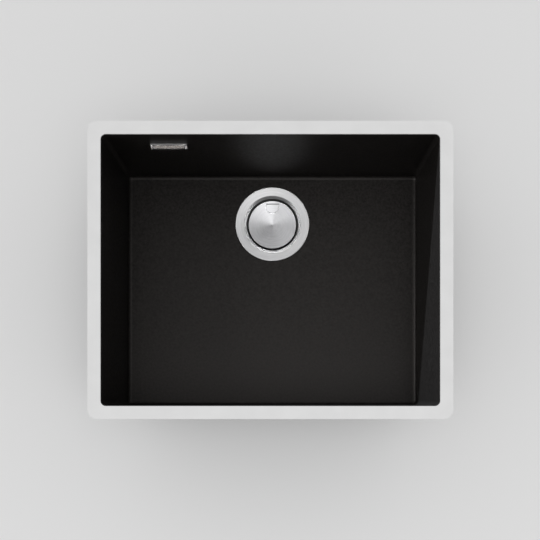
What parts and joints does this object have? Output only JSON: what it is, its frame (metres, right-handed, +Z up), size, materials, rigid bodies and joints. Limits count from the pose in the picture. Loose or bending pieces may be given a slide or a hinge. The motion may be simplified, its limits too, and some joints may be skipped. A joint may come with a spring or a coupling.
{
  "type": "undermount kitchen sink",
  "caption": "Single-bowl undermount kitchen sink in dark composite, with fixing clips, a basket waste under a tilting cover, and an overflow with its hose.",
  "frame": {"origin": "centre of the bowl's opening, in the plane of the flange's top face", "axes": "+X to the right and along the long side, +Y to the back, where the waste and overflow are, +Z up out of the bowl"},
  "size_m": [0.54, 0.4606, 0.302],
  "materials": {
    "composite": "fine-grained dark stone-resin composite, satin",
    "foam": "pale grey closed-cell sealing strip",
    "stainless": "circularly brushed stainless steel",
    "brushed_cover": "fine brushed stainless steel",
    "chrome": "polished chrome",
    "brass": "bright brass",
    "zinc_steel": "zinc-plated steel",
    "rubber": "black moulded rubber",
    "black_plastic": "matt black moulded plastic",
    "pot_plastic": "white moulded polypropylene",
    "hose_plastic": "pale grey ribbed polypropylene"
  },
  "bodies": {
    "sink": {"bowl": "composite", "rim_seal": "foam", "clip_inserts": "brass", "clip_washers": "zinc_steel", "clip_screws": "zinc_steel", "waste_flange": "stainless", "flange_gasket": "rubber", "waste_seal": "rubber", "waste_pot": "pot_plastic", "pot_nut": "brass", "centre_screw": "stainless", "overflow_frame": "chrome", "overflow_panel": "brushed_cover", "overflow_gasket": "rubber", "overflow_seal": "rubber", "overflow_screws": "stainless", "overflow_housing": "pot_plastic", "overflow_hose": "hose_plastic", "hose_nut_top": "black_plastic", "hose_nut_bottom": "black_plastic", "hose_seal_top": "rubber", "hose_seal_bottom": "rubber"},
    "clip_front_left": {"clip_front_left": "zinc_steel"},
    "clip_front_right": {"clip_front_right": "zinc_steel"},
    "clip_back_left": {"clip_back_left": "zinc_steel"},
    "clip_back_right": {"clip_back_right": "zinc_steel"},
    "clip_left_front": {"clip_left_front": "zinc_steel"},
    "clip_left_back": {"clip_left_back": "zinc_steel"},
    "clip_right_front": {"clip_right_front": "zinc_steel"},
    "clip_right_back": {"clip_right_back": "zinc_steel"},
    "basket": {"strainer_basket": "stainless", "basket_stem": "black_plastic", "basket_seal": "rubber"},
    "cover_carrier": {"cover_carrier": "black_plastic", "cover_pin": "stainless"},
    "cover_disc": {"cover_disc": "brushed_cover"}
  },
  "joints": [
    {"name": "clip_front_left_swing", "type": "hinge", "parent": "sink", "child": "clip_front_left", "pos_m": [-0.15, -0.214, -0.026], "axis": [0, 0, -1], "range_deg": [0, 90]},
    {"name": "clip_front_right_swing", "type": "hinge", "parent": "sink", "child": "clip_front_right", "pos_m": [0.15, -0.214, -0.026], "axis": [0, 0, 1], "range_deg": [0, 90]},
    {"name": "clip_back_left_swing", "type": "hinge", "parent": "sink", "child": "clip_back_left", "pos_m": [-0.075, 0.214, -0.026], "axis": [0, 0, 1], "range_deg": [0, 90]},
    {"name": "clip_back_right_swing", "type": "hinge", "parent": "sink", "child": "clip_back_right", "pos_m": [0.15, 0.214, -0.026], "axis": [0, 0, -1], "range_deg": [0, 90]},
    {"name": "clip_left_front_swing", "type": "hinge", "parent": "sink", "child": "clip_left_front", "pos_m": [-0.264, -0.1, -0.026], "axis": [0, 0, 1], "range_deg": [0, 90]},
    {"name": "clip_left_back_swing", "type": "hinge", "parent": "sink", "child": "clip_left_back", "pos_m": [-0.264, 0.1, -0.026], "axis": [0, 0, -1], "range_deg": [0, 90]},
    {"name": "clip_right_front_swing", "type": "hinge", "parent": "sink", "child": "clip_right_front", "pos_m": [0.264, -0.1, -0.026], "axis": [0, 0, -1], "range_deg": [0, 90]},
    {"name": "clip_right_back_swing", "type": "hinge", "parent": "sink", "child": "clip_right_back", "pos_m": [0.264, 0.1, -0.026], "axis": [0, 0, 1], "range_deg": [0, 90]},
    {"name": "basket_lift", "type": "slide", "parent": "sink", "child": "basket", "axis": [0, 0, 1], "range_m": [0, 0.06]},
    {"name": "cover_lift", "type": "slide", "parent": "basket", "child": "cover_carrier", "axis": [0, 0, 1], "range_m": [0, 0.06]},
    {"name": "cover_tilt", "type": "hinge", "parent": "cover_carrier", "child": "cover_disc", "pos_m": [0, 0.119, -0.20835], "axis": [-1, 0, 0], "range_deg": [0, 4]}
  ]
}
